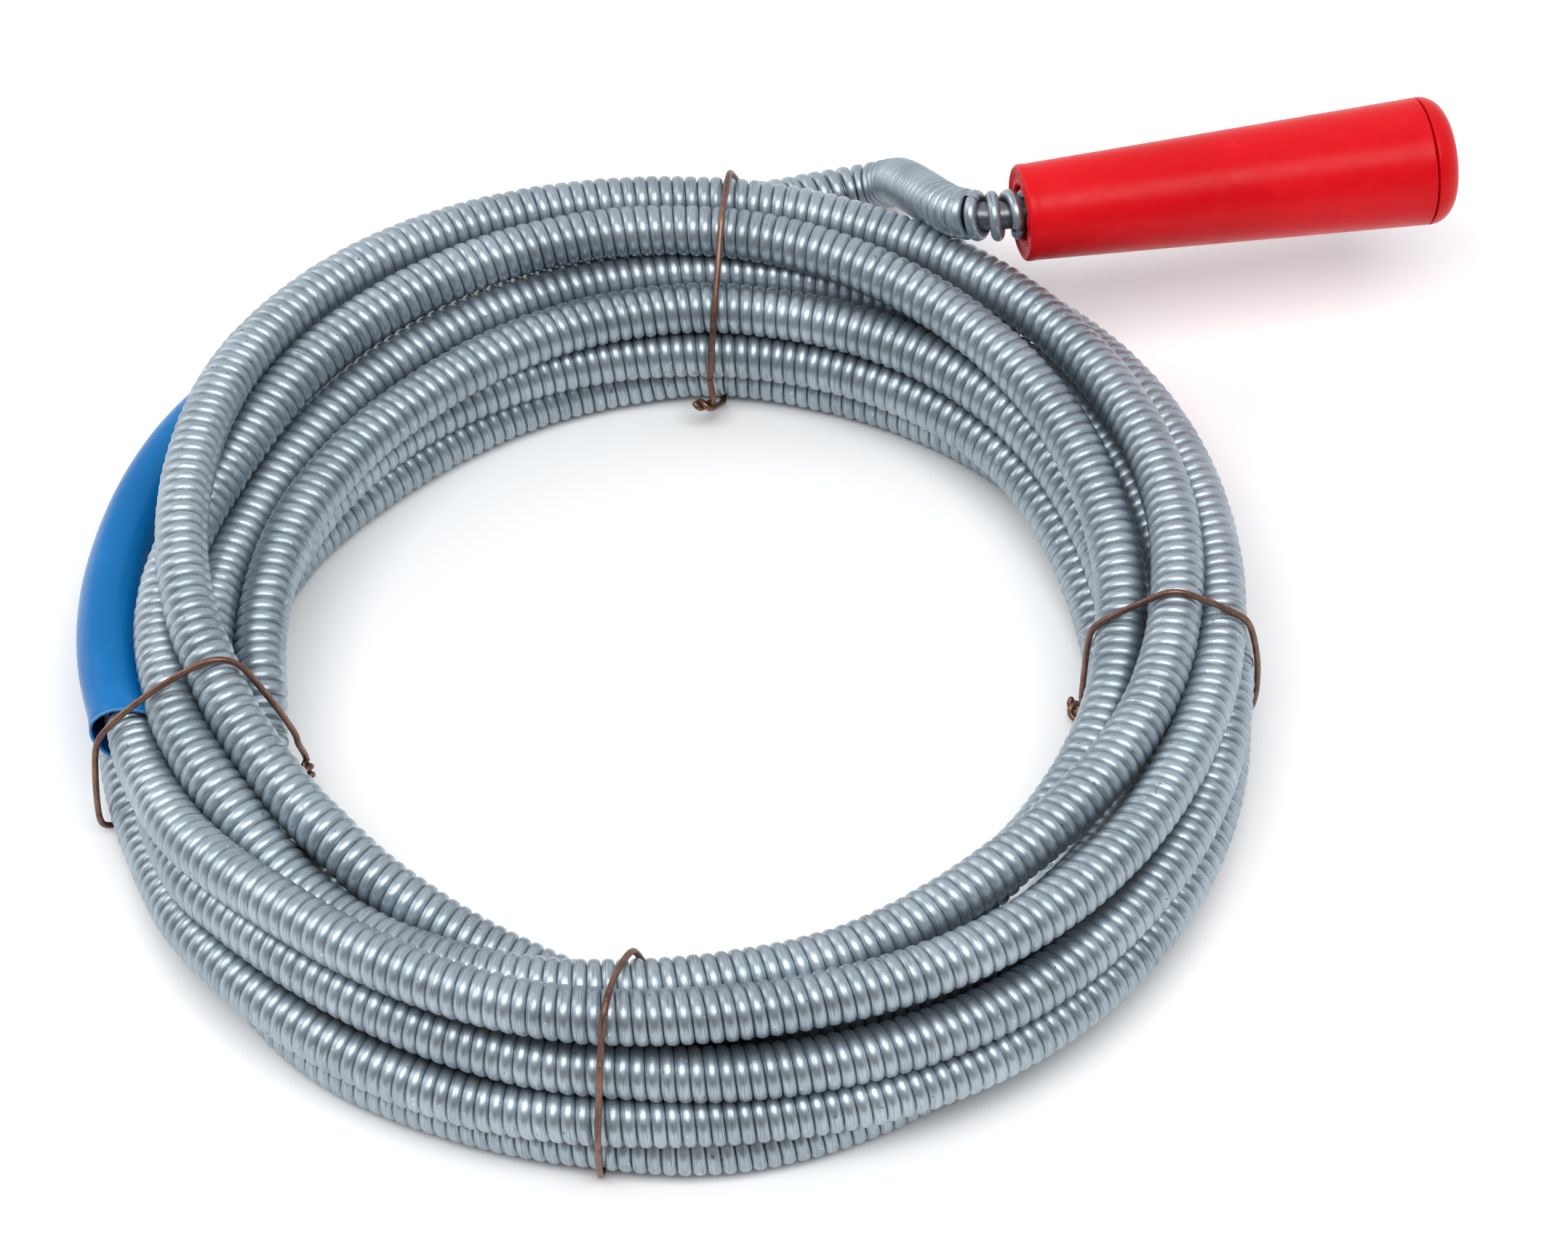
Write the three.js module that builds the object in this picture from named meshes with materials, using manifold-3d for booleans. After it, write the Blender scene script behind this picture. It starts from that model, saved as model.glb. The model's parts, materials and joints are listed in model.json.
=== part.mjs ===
// Hand drain auger: a long close-wound steel spiral tied into a coil, with a sliding
// hand sleeve and a crank that carries a spinning grip.
// Millimetres, +Z up. The coil lies flat and its crank reaches over it to the grip.
// The model is laid out round the coil's centre, on the surface it lies on, and the finished
// layout is then moved so that the origin is the middle of its footprint.

import * as THREE from "three";
import Module from "manifold-3d";
import { mergeVertices } from "three/addons/utils/BufferGeometryUtils.js";

const wasm = await Module();
wasm.setup();

// Driving dimensions
const SPIRAL_D = 9;
const WIRE_D = 2.2;
const TOUCH_GAP = 0.3;

// Tied coil: outer shape of the whole bundle of turns
const COIL_INNER_R = 69.5;
const COIL_OUTER_R = 96.5;
const COIL_HEIGHT = 33.5;
const COIL_CORNER_R = 7.5;

// Sleeve: a thin oval tube bent to an arc, in a plane tipped about X
const SLEEVE_CENTRE = new THREE.Vector3(-7.6, 14.3, 16.4);
const SLEEVE_TIP = THREE.MathUtils.degToRad(-7.2);
const SLEEVE_ARC_R = 89;
const SLEEVE_HALF_WIDTH = 5.6;
const SLEEVE_HALF_HEIGHT = 6.3;
const SLEEVE_WALL = 0.5;
const SLEEVE_MOUTH_ANGLE = 199.5;
const SLEEVE_FAR_ANGLE = 135.2;
const CHANNEL_CLEARANCE = 1.4;
const CHANNEL_END_ANGLE = 204;

// Crank and grip
const ROD_D = 5;
const ROD_CLEARANCE = 0.4;
const GRIP_MOUTH = new THREE.Vector3(57.5, 83.8, 38.5);
const GRIP_LENGTH = 77.6;
const GRIP_YAW = THREE.MathUtils.degToRad(11.9);
const GRIP_DROOP = THREE.MathUtils.degToRad(1.8);
const GRIP_FRONT_R = 8.5;
const GRIP_REAR_R = 11.3;
const GRIP_COLLAR = 1.7;
const GRIP_RIM = 0.6;
const GRIP_SEAM = 72.7;
const GRIP_END_CORNER_R = 4.9;
const MOUTH_R = 5.6;
const MOUTH_DEPTH = 5;
const POCKET_R = 7.6;
const POCKET_START = 61;
const SPIRAL_IN_MOUTH = 3;
const ROD_IN_GRIP = 65;

// Working tip on the free end of the spiral
const HEAD_LENGTH = 25;
const HEAD_NECK_R = 3.4;
const HEAD_BULB_R = 6.3;

// Wire ties
const TIE_D = 1.1;
const TIE_GAP = 0.5;
const TIE_FLOOR = 0.15;
const TIE_CORNER_R = 5;
const TIE_LEAD = 1.5;
const TWIST_LENGTH = 9;
const TWIST_TURNS = 1.5;
const TWIST_R = 0.72;
const TWIST_OFFSET = 1.1;
const TWIST_HEIGHT = 10;
const GROOVE_WIDTH = 3.4;
const GROOVE_DEPTH = 1.75;

const ROUND_SIDES = 40;
const TUBE_SIDES = 10;
const TIE_SIDES = 6;

const materials = {
  zinc: new THREE.MeshStandardMaterial({ color: 0x9aa5ad, roughness: 0.35, metalness: 0.9 }),
  rodSteel: new THREE.MeshStandardMaterial({ color: 0x5b5d60, roughness: 0.4, metalness: 0.9 }),
  washerSteel: new THREE.MeshStandardMaterial({ color: 0x84878a, roughness: 0.4, metalness: 0.9 }),
  redPlastic: new THREE.MeshStandardMaterial({ color: 0xd8202a, roughness: 0.42, metalness: 0 }),
  bluePlastic: new THREE.MeshStandardMaterial({ color: 0x1470b8, roughness: 0.3, metalness: 0 }),
  tieWire: new THREE.MeshStandardMaterial({ color: 0x6f4a3c, roughness: 0.4, metalness: 0.8 }),
};

const layout = new THREE.Group();

function addMesh(name, geometry, material) {
  const mesh = new THREE.Mesh(geometry, material);
  mesh.name = name;
  layout.add(mesh);
  return mesh;
}

// Solids for joining and cutting

function toSolid(geometry) {
  const bare = geometry.clone();
  bare.deleteAttribute("normal");
  bare.deleteAttribute("uv");
  const merged = mergeVertices(bare, 1e-4);
  return new wasm.Manifold(
    new wasm.Mesh({
      numProp: 3,
      vertProperties: new Float32Array(merged.attributes.position.array),
      triVerts: new Uint32Array(merged.index.array),
    })
  );
}

function toGeometry(solid) {
  const mesh = solid.getMesh();
  const geometry = new THREE.BufferGeometry();
  geometry.setAttribute("position", new THREE.BufferAttribute(mesh.vertProperties, 3));
  geometry.setIndex(new THREE.BufferAttribute(mesh.triVerts, 1));
  geometry.computeVertexNormals();
  return geometry;
}

// Shapes

function polar(radius, degrees, height) {
  const angle = THREE.MathUtils.degToRad(degrees);
  return new THREE.Vector3(radius * Math.cos(angle), radius * Math.sin(angle), height);
}

// Points of a quarter of an ellipse, as [radius, height] pairs
function cornerPoints(centreR, centreZ, halfWidth, halfHeight, fromDegrees, steps) {
  const points = [];
  for (let i = 0; i <= steps; i++) {
    const angle = THREE.MathUtils.degToRad(fromDegrees + (90 * i) / steps);
    points.push([centreR + halfWidth * Math.cos(angle), centreZ + halfHeight * Math.sin(angle)]);
  }
  return points;
}

// A body of revolution about Z from [radius, height] pairs listed counter-clockwise
function revolve(pairs, sides) {
  const profile = pairs.map(([radius, height]) => new THREE.Vector2(radius, height));
  const geometry = new THREE.LatheGeometry(profile, sides);
  geometry.rotateX(Math.PI / 2);
  return geometry;
}

function roundedRing(innerR, outerR, bottom, top, cornerR, sides) {
  const pairs = [
    ...cornerPoints(innerR + cornerR, bottom + cornerR, cornerR, cornerR, 180, 3),
    ...cornerPoints(outerR - cornerR, bottom + cornerR, cornerR, cornerR, 270, 3),
    ...cornerPoints(outerR - cornerR, top - cornerR, cornerR, cornerR, 0, 3),
    ...cornerPoints(innerR + cornerR, top - cornerR, cornerR, cornerR, 90, 3),
  ];
  pairs.push(pairs[0]);
  return revolve(pairs, sides);
}

function squareRing(innerR, outerR, bottom, top, sides) {
  const pairs = [
    [innerR, bottom],
    [outerR, bottom],
    [outerR, top],
    [innerR, top],
    [innerR, bottom],
  ];
  return revolve(pairs, sides);
}

function ovalRing(arcR, halfWidth, halfHeight, sides) {
  const pairs = [];
  for (const quarter of [0, 90, 180, 270]) {
    pairs.push(...cornerPoints(arcR, 0, halfWidth, halfHeight, quarter, 5).slice(0, -1));
  }
  pairs.push(pairs[0]);
  return revolve(pairs, sides);
}

// A wedge of the space round Z between two angles
function sector(fromDegrees, toDegrees, radius, height) {
  const shape = new THREE.Shape();
  shape.moveTo(0, 0);
  const steps = 6;
  for (let i = 0; i <= steps; i++) {
    const point = polar(radius, fromDegrees + ((toDegrees - fromDegrees) * i) / steps, 0);
    shape.lineTo(point.x, point.y);
  }
  const geometry = new THREE.ExtrudeGeometry(shape, { depth: height, bevelEnabled: false });
  geometry.translate(0, 0, -height / 2);
  return geometry;
}

function circleShape(radius, sides, holeRadius = 0) {
  const ringOf = (r) =>
    Array.from({ length: sides }, (_, i) => {
      const angle = (2 * Math.PI * i) / sides;
      return new THREE.Vector2(r * Math.cos(angle), r * Math.sin(angle));
    });
  const shape = new THREE.Shape(ringOf(radius));
  if (holeRadius > 0) {
    shape.holes.push(new THREE.Path(ringOf(holeRadius)));
  }
  return shape;
}

// A stretch of a longer curve, measured in millimetres along it
class Stretch extends THREE.Curve {
  constructor(whole, from, to) {
    super();
    this.whole = whole;
    this.from = from / whole.getLength();
    this.to = Math.min(1, to / whole.getLength());
  }

  getPoint(t, target = new THREE.Vector3()) {
    return this.whole.getPointAt(this.from + (this.to - this.from) * t, target);
  }
}

function tube(path, shape, stepLength) {
  const steps = Math.max(2, Math.round(path.getLength() / stepLength));
  return new THREE.ExtrudeGeometry(shape, { extrudePath: path, steps, bevelEnabled: false });
}

// Distance along a curve to its point nearest to a place
function distanceTo(curve, place) {
  const samples = 4000;
  let best = 0;
  let bestGap = Infinity;
  for (let i = 0; i <= samples; i++) {
    const gap = curve.getPointAt(i / samples).distanceTo(place);
    if (gap < bestGap) {
      bestGap = gap;
      best = i / samples;
    }
  }
  return best * curve.getLength();
}

// The route of the spiral that isn't coiled: through the sleeve, low along the outside of
// the coil, out behind it, up and over in the crank, and into the grip.

const sleeveFrame = new THREE.Matrix4()
  .makeRotationX(SLEEVE_TIP)
  .setPosition(SLEEVE_CENTRE);

function sleeveArcPoint(degrees) {
  return polar(SLEEVE_ARC_R, degrees, 0).applyMatrix4(sleeveFrame);
}

const sleeveRoute = [];
for (let angle = CHANNEL_END_ANGLE; angle >= SLEEVE_FAR_ANGLE - 1; angle -= 6) {
  sleeveRoute.push(sleeveArcPoint(angle));
}

const behindCoilRoute = [
  [-59.5, 87.2, 6.6],
  [-46.5, 95.6, 5.4],
  [-33.1, 101.9, 4.9],
  [-18.9, 107.1, 5.4],
  [-5.8, 111.3, 6.4],
  [5.5, 115.1, 6.6],
];

const crankRoute = [
  [16.8, 119, 5.5],
  [25.5, 121.9, 4.8],
  [30.8, 122.9, 5.1],
  [34.6, 122, 6.9],
  [36.8, 119.4, 10.2],
  [38.1, 115.2, 14.2],
  [39.3, 109, 19.5],
  [40.9, 101.4, 25.6],
  [42.8, 94.2, 31],
  [45.4, 87.9, 35.2],
  [48.6, 84.2, 37.8],
  [52.4, 83, 38.6],
];

const gripDirection = new THREE.Vector3(
  Math.cos(GRIP_YAW) * Math.cos(GRIP_DROOP),
  Math.sin(GRIP_YAW) * Math.cos(GRIP_DROOP),
  -Math.sin(GRIP_DROOP)
);

function gripAxisPoint(distance) {
  return GRIP_MOUTH.clone().addScaledVector(gripDirection, distance);
}

const freeRoute = new THREE.CatmullRomCurve3(
  [
    ...sleeveRoute,
    ...behindCoilRoute.map((point) => new THREE.Vector3(...point)),
    ...crankRoute.map((point) => new THREE.Vector3(...point)),
    gripAxisPoint(0),
    gripAxisPoint(ROD_IN_GRIP / 3),
    gripAxisPoint((2 * ROD_IN_GRIP) / 3),
    gripAxisPoint(ROD_IN_GRIP),
  ],
  false,
  "centripetal"
);
freeRoute.arcLengthDivisions = 2000;

const crankStart = distanceTo(freeRoute, new THREE.Vector3(...behindCoilRoute[3]));
const mouthDistance = distanceTo(freeRoute, GRIP_MOUTH);

// Coil, with a channel for the sleeve and a groove under each tie

const TIES = [
  { name: "wire_tie_back", angle: 86, reach: 122, twistSide: 1 },
  { name: "wire_tie_right", angle: 0, reach: COIL_OUTER_R + TIE_GAP + TIE_D / 2, twistSide: -1 },
  { name: "wire_tie_front", angle: -96.5, reach: COIL_OUTER_R + TIE_GAP + TIE_D / 2, twistSide: -1 },
  { name: "wire_tie_left", angle: 196, reach: COIL_OUTER_R + TIE_GAP + TIE_D / 2, twistSide: -1 },
];

function sleeveOval(margin, fromDegrees, toDegrees) {
  const oval = ovalRing(SLEEVE_ARC_R, SLEEVE_HALF_WIDTH + margin, SLEEVE_HALF_HEIGHT + margin, 100);
  return toSolid(oval).intersect(toSolid(sector(fromDegrees, toDegrees, 130, 60)));
}

function buildCoil() {
  const ring = toSolid(roundedRing(COIL_INNER_R, COIL_OUTER_R, 0, COIL_HEIGHT, COIL_CORNER_R, 72));
  const channelGeometry = toGeometry(
    sleeveOval(CHANNEL_CLEARANCE, SLEEVE_FAR_ANGLE - 10, CHANNEL_END_ANGLE)
  );
  channelGeometry.applyMatrix4(sleeveFrame);
  let coil = ring.subtract(toSolid(channelGeometry));
  for (const { angle } of TIES) {
    const groove = new THREE.BoxGeometry(COIL_OUTER_R, GROOVE_WIDTH, 2 * GROOVE_DEPTH);
    groove.translate(COIL_OUTER_R / 2 + COIL_INNER_R / 2, 0, 0);
    groove.rotateZ(THREE.MathUtils.degToRad(angle));
    coil = coil.subtract(toSolid(groove));
  }
  addMesh("spiral_coil", toGeometry(coil), materials.zinc);
}

function buildSpiralEnds() {
  const round = circleShape(SPIRAL_D / 2, TUBE_SIDES);
  const hollow = circleShape(SPIRAL_D / 2, TUBE_SIDES, ROD_D / 2 + ROD_CLEARANCE);
  const halfGap = TOUCH_GAP / 2;
  const inSleeve = new Stretch(freeRoute, 2 * TOUCH_GAP, crankStart - halfGap);
  addMesh("spiral_sleeve_stretch", tube(inSleeve, round, 5), materials.zinc);
  const inCrank = new Stretch(freeRoute, crankStart + halfGap, mouthDistance + SPIRAL_IN_MOUTH);
  addMesh("spiral_crank_end", tube(inCrank, hollow, 4), materials.zinc);
}

function buildRod() {
  const inset = 2 * WIRE_D;
  const path = new Stretch(freeRoute, crankStart + inset, mouthDistance + ROD_IN_GRIP);
  addMesh("crank_rod", tube(path, circleShape(ROD_D / 2, TUBE_SIDES), 4), materials.rodSteel);
}

// Free end and working tip, lying inside the coil on the surface

function buildHead() {
  const tipAngle = -75;
  const neckAngle = -99;
  const headR = 62.2;
  const headHeight = 6.9;
  const neck = polar(headR, neckAngle, headHeight);
  const tip = polar(headR, tipAngle, headHeight);
  const direction = tip.clone().sub(neck).normalize();
  const route = new THREE.CatmullRomCurve3([
    polar(76, -120, 5),
    polar(71.5, -115, 5),
    polar(67.4, -110, 5.6),
    polar(64.3, -105, 6.4),
    neck.clone().addScaledVector(direction, -TOUCH_GAP),
  ]);
  const wall = toSolid(squareRing(COIL_INNER_R - 2 * TOUCH_GAP, 2 * COIL_OUTER_R, -20, 60, 72));
  const strand = toSolid(tube(route, circleShape(SPIRAL_D / 2, TUBE_SIDES), 4)).subtract(wall);
  addMesh("spiral_head_end", toGeometry(strand), materials.zinc);

  const profile = [
    [0, 0],
    [HEAD_NECK_R, 0],
    [HEAD_NECK_R, HEAD_LENGTH * 0.1],
    [HEAD_BULB_R * 0.82, HEAD_LENGTH * 0.28],
    [HEAD_BULB_R, HEAD_LENGTH * 0.5],
    [HEAD_BULB_R * 0.86, HEAD_LENGTH * 0.74],
    [HEAD_BULB_R * 0.56, HEAD_LENGTH * 0.92],
    [HEAD_BULB_R * 0.36, HEAD_LENGTH],
    [0, HEAD_LENGTH],
  ];
  const head = addMesh("auger_head", revolve(profile, 24), materials.zinc);
  head.position.copy(neck);
  head.quaternion.setFromUnitVectors(new THREE.Vector3(0, 0, 1), direction);
}

function buildSleeve() {
  const bore = ovalRing(
    SLEEVE_ARC_R,
    SLEEVE_HALF_WIDTH - SLEEVE_WALL,
    SLEEVE_HALF_HEIGHT - SLEEVE_WALL,
    100
  );
  const shell = sleeveOval(0, SLEEVE_FAR_ANGLE, SLEEVE_MOUTH_ANGLE).subtract(toSolid(bore));
  const sleeve = addMesh("hand_sleeve", toGeometry(shell), materials.bluePlastic);
  sleeve.applyMatrix4(sleeveFrame);
}

// Grip, its cap and its washers share one axis, with Z along it from the mouth

const gripFrame = new THREE.Group();
gripFrame.position.copy(GRIP_MOUTH);
gripFrame.quaternion.setFromUnitVectors(new THREE.Vector3(0, 0, 1), gripDirection);
layout.add(gripFrame);

function addToGrip(name, pairs, material) {
  gripFrame.add(addMesh(name, revolve(pairs, ROUND_SIDES), material));
}

function gripRadiusAt(distance) {
  const along = (distance - GRIP_COLLAR) / (GRIP_SEAM - GRIP_COLLAR);
  return GRIP_FRONT_R + (GRIP_REAR_R - GRIP_FRONT_R) * Math.min(1, Math.max(0, along));
}

function buildGrip() {
  const boreR = ROD_D / 2 + ROD_CLEARANCE;
  const rearFace = GRIP_SEAM - TOUCH_GAP / 2;
  const grip = [
    [MOUTH_R, 0],
    [GRIP_FRONT_R - GRIP_RIM, 0],
    [GRIP_FRONT_R, GRIP_RIM],
    [GRIP_FRONT_R, GRIP_COLLAR],
    [gripRadiusAt(GRIP_LENGTH / 2), GRIP_LENGTH / 2],
    [GRIP_REAR_R, rearFace],
    [POCKET_R, rearFace],
    [POCKET_R, POCKET_START],
    [boreR, POCKET_START],
    [boreR, MOUTH_DEPTH],
    [MOUTH_R, MOUTH_DEPTH],
    [MOUTH_R, 0],
  ];
  addToGrip("handle_grip", grip, materials.redPlastic);

  const capFace = GRIP_SEAM + TOUCH_GAP / 2;
  const spigotR = POCKET_R - TOUCH_GAP;
  const spigotDepth = 4;
  const cap = [
    [0, capFace - spigotDepth],
    [spigotR, capFace - spigotDepth],
    [spigotR, capFace],
    ...cornerPoints(
      GRIP_REAR_R - GRIP_END_CORNER_R,
      capFace,
      GRIP_END_CORNER_R,
      GRIP_LENGTH - capFace,
      0,
      5
    ),
    [0, GRIP_LENGTH],
  ];
  addToGrip("grip_end_cap", cap, materials.redPlastic);
}

function buildWashers() {
  const holeR = ROD_D / 2 + TOUCH_GAP;
  const thrustTop = MOUTH_DEPTH - TOUCH_GAP;
  const thrustThickness = 1;
  const thrust = [
    [holeR, thrustTop - thrustThickness],
    [MOUTH_R - 0.8, thrustTop - thrustThickness],
    [MOUTH_R - 0.8, thrustTop],
    [holeR, thrustTop],
    [holeR, thrustTop - thrustThickness],
  ];
  addToGrip("thrust_washer", thrust, materials.washerSteel);

  const seat = POCKET_START + TOUCH_GAP;
  const outerR = 5.8;
  const dish = 0.7;
  const retaining = [
    [holeR, seat + dish],
    [outerR - 1, seat],
    [outerR, seat],
    [outerR, seat + dish],
    [outerR - 1, seat + dish],
    [holeR, seat + 2 * dish],
    [holeR, seat + dish],
  ];
  addToGrip("retaining_washer", retaining, materials.washerSteel);
}

// A tie is one wire: it starts at the tip of its twist, goes once round the coil's section
// and runs back beside itself to the tip. Points are [radius, along, height] near the coil.

function tieRoute(reach, twistSide) {
  const innerR = COIL_INNER_R - TIE_GAP - TIE_D / 2;
  const bottom = TIE_FLOOR + TIE_D / 2;
  const top = COIL_HEIGHT + TIE_GAP + TIE_D / 2;
  const topOuterR = COIL_OUTER_R + TIE_GAP + TIE_D / 2;
  const twistR = twistSide > 0 ? reach : innerR;
  const twistPoint = (along, phase) => {
    const turn = 2 * Math.PI * TWIST_TURNS * (along / TWIST_LENGTH) + phase;
    const lift = TWIST_R * Math.cos(turn);
    const radius = twistR + twistSide * (TWIST_OFFSET + TWIST_R * Math.sin(turn));
    return [radius, 1 + along, TWIST_HEIGHT + lift];
  };
  const steps = 6 * TWIST_TURNS;
  const up = [];
  const down = [];
  for (let i = steps; i >= 0; i--) {
    up.push(twistPoint((TWIST_LENGTH * i) / steps, 0));
    down.unshift(twistPoint((TWIST_LENGTH * i) / steps, Math.PI));
  }
  const bend = (radius, height, fromDegrees) => {
    const arc = cornerPoints(radius, height, TIE_CORNER_R, TIE_CORNER_R, fromDegrees, 3);
    const start = THREE.MathUtils.degToRad(fromDegrees);
    const lead = [TIE_LEAD * Math.sin(start), -TIE_LEAD * Math.cos(start)];
    const tail = [-TIE_LEAD * Math.cos(start), -TIE_LEAD * Math.sin(start)];
    const first = [arc[0][0] + lead[0], arc[0][1] + lead[1]];
    const last = [arc[3][0] + tail[0], arc[3][1] + tail[1]];
    return [first, ...arc, last].map(([r, z]) => [r, 0, z]);
  };
  const c = TIE_CORNER_R;
  const corners = [
    bend(topOuterR - c, top - c, 0),
    bend(innerR + c, top - c, 90),
    bend(innerR + c, bottom + c, 180),
    bend(reach - c, bottom + c, 270),
  ];
  if (twistSide > 0) {
    return [...up, ...corners.flat(), ...down];
  }
  const otherWayRound = [1, 0, 3, 2].map((i) => corners[i].reverse());
  return [...up, ...otherWayRound.flat(), ...down];
}

function buildTies() {
  for (const { name, angle, reach, twistSide } of TIES) {
    const turn = THREE.MathUtils.degToRad(angle);
    const points = tieRoute(reach, twistSide).map((point) =>
      new THREE.Vector3(...point).applyAxisAngle(new THREE.Vector3(0, 0, 1), turn)
    );
    const route = new THREE.CatmullRomCurve3(points, false, "centripetal");
    const wire = tube(route, circleShape(TIE_D / 2, TIE_SIDES), 1.9);
    addMesh(name, wire, materials.tieWire);
  }
}

buildCoil();
buildSpiralEnds();
buildRod();
buildHead();
buildSleeve();
buildGrip();
buildWashers();
buildTies();

// Put the origin at the middle of the footprint, on the surface
layout.updateMatrixWorld(true);
const box = new THREE.Box3().setFromObject(layout, true);
const centre = box.getCenter(new THREE.Vector3());
layout.position.set(-centre.x, -centre.y, -box.min.z);

const auger = new THREE.Group();
auger.add(layout);

export default auger;
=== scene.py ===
"""Looks of a hand drain auger: a close-wound steel spiral tied into a coil, its hand sleeve,
its crank and its grip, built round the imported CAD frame.

Shapes are worked out in millimetres from the coil's centre, on the surface, and turned into
metres in the CAD frame by to_frame().
"""

import json
import math

import bpy
import numpy as np
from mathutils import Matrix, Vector


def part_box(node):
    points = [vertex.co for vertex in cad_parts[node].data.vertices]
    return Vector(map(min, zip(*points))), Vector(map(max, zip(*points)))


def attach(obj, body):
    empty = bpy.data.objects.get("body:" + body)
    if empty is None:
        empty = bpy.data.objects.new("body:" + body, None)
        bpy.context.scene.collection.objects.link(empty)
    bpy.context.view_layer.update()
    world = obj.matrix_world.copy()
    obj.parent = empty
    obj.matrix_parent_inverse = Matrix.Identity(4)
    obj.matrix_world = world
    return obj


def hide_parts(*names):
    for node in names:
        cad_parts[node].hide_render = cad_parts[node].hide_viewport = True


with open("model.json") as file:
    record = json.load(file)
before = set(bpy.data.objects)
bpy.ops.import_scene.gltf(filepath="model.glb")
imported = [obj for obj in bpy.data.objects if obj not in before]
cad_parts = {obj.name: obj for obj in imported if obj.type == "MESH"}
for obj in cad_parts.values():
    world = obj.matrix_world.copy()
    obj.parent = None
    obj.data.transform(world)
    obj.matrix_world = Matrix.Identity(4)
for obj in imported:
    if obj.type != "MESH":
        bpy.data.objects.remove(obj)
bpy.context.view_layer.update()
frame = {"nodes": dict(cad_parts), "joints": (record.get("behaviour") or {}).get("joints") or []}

MM = 0.001

# ---------------------------------------------------------------- places taken from the frame

coil_low, coil_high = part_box("spiral_coil")
COIL_CENTRE = np.array(
    [coil_high.x - (coil_high.y - coil_low.y) / 2, (coil_low.y + coil_high.y) / 2, 0.0]
)
JOINTS = {joint["name"]: joint for joint in frame["joints"]}


def to_frame(points):
    return np.asarray(points, float) * MM + COIL_CENTRE


def from_frame(point):
    return (np.array(point, float) - COIL_CENTRE) / MM


GRIP_MOUTH = from_frame(JOINTS["grip_spin"]["pos_m"])
GRIP_AXIS = np.array(JOINTS["grip_spin"]["axis"], float)
SLEEVE_CENTRE = from_frame(JOINTS["sleeve_slide"]["pos_m"])
SLEEVE_NORMAL = np.array(JOINTS["sleeve_slide"]["axis"], float)

# ---------------------------------------------------------------- camera

CAMERA_ELEVATION = math.radians(50.5)
CAMERA_TARGET = np.array([16.5, 11.5, 13.0])
CAMERA_DISTANCE = 830.0
CAMERA_LENS = 112.95

camera_data = bpy.data.cameras.new("camera")
camera_data.sensor_width = 36.0
camera_data.lens = CAMERA_LENS
camera = bpy.data.objects.new("camera", camera_data)
bpy.context.scene.collection.objects.link(camera)
camera_offset = [0, -math.cos(CAMERA_ELEVATION), math.sin(CAMERA_ELEVATION)]
camera.location = to_frame(CAMERA_TARGET + CAMERA_DISTANCE * np.array(camera_offset))
camera.rotation_euler = (math.pi / 2 - CAMERA_ELEVATION, 0, 0)
bpy.context.scene.camera = camera

# ---------------------------------------------------------------- sizes, in millimetres

SPIRAL_D = 9.0
WIRE_D = 2.2
WIRE_R = WIRE_D / 2
WINDING_R = SPIRAL_D / 2 - WIRE_R
PITCH = 2.25
END_TURN_PITCH = 3.3
HEAD_PITCH = 2.45
END_TURN_SQUARENESS = 0.35
END_TURNS_LENGTH = 11.0
SPIRAL_IN_MOUTH = 3.0

ROD_R = 2.5
ROD_IN_GRIP = 65.0

SLEEVE_ARC_R = 89.0
SLEEVE_MOUTH_ANGLE = 201.9
SLEEVE_FAR_ANGLE = 135.2
SLEEVE_LEAN = 1.3

TIE_R = 0.55

# ---------------------------------------------------------------- curves


def smoothstep(x):
    x = np.clip(x, 0, 1)
    return x * x * (3 - 2 * x)


def polar(radius, degrees, height):
    angle = math.radians(degrees)
    return np.array([radius * math.cos(angle), radius * math.sin(angle), height])


def catmull_rom(points, step):
    """A centripetal Catmull-Rom curve through the points, with a sample about every step."""
    points = np.asarray(points, float)
    first = 2 * points[0] - points[1]
    last = 2 * points[-1] - points[-2]
    p = np.vstack([first, points, last])
    out = []
    for i in range(1, len(p) - 2):
        quad = p[i - 1 : i + 3]
        knots = np.zeros(4)
        for j in range(3):
            knots[j + 1] = knots[j] + max(1e-6, np.linalg.norm(quad[j + 1] - quad[j])) ** 0.5
        count = max(2, int(np.ceil(np.linalg.norm(quad[2] - quad[1]) / step)))
        t = np.linspace(knots[1], knots[2], count, endpoint=False)[:, None]
        a = [
            (knots[j + 1] - t) / (knots[j + 1] - knots[j]) * quad[j]
            + (t - knots[j]) / (knots[j + 1] - knots[j]) * quad[j + 1]
            for j in range(3)
        ]
        b = [
            (knots[j + 2] - t) / (knots[j + 2] - knots[j]) * a[j]
            + (t - knots[j]) / (knots[j + 2] - knots[j]) * a[j + 1]
            for j in range(2)
        ]
        out.append(
            (knots[2] - t) / (knots[2] - knots[1]) * b[0]
            + (t - knots[1]) / (knots[2] - knots[1]) * b[1]
        )
    out.append(points[-1][None])
    return np.vstack(out)


def distances(points):
    steps = np.linalg.norm(np.diff(points, axis=0), axis=1)
    return np.concatenate([[0], np.cumsum(steps)])


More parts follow.
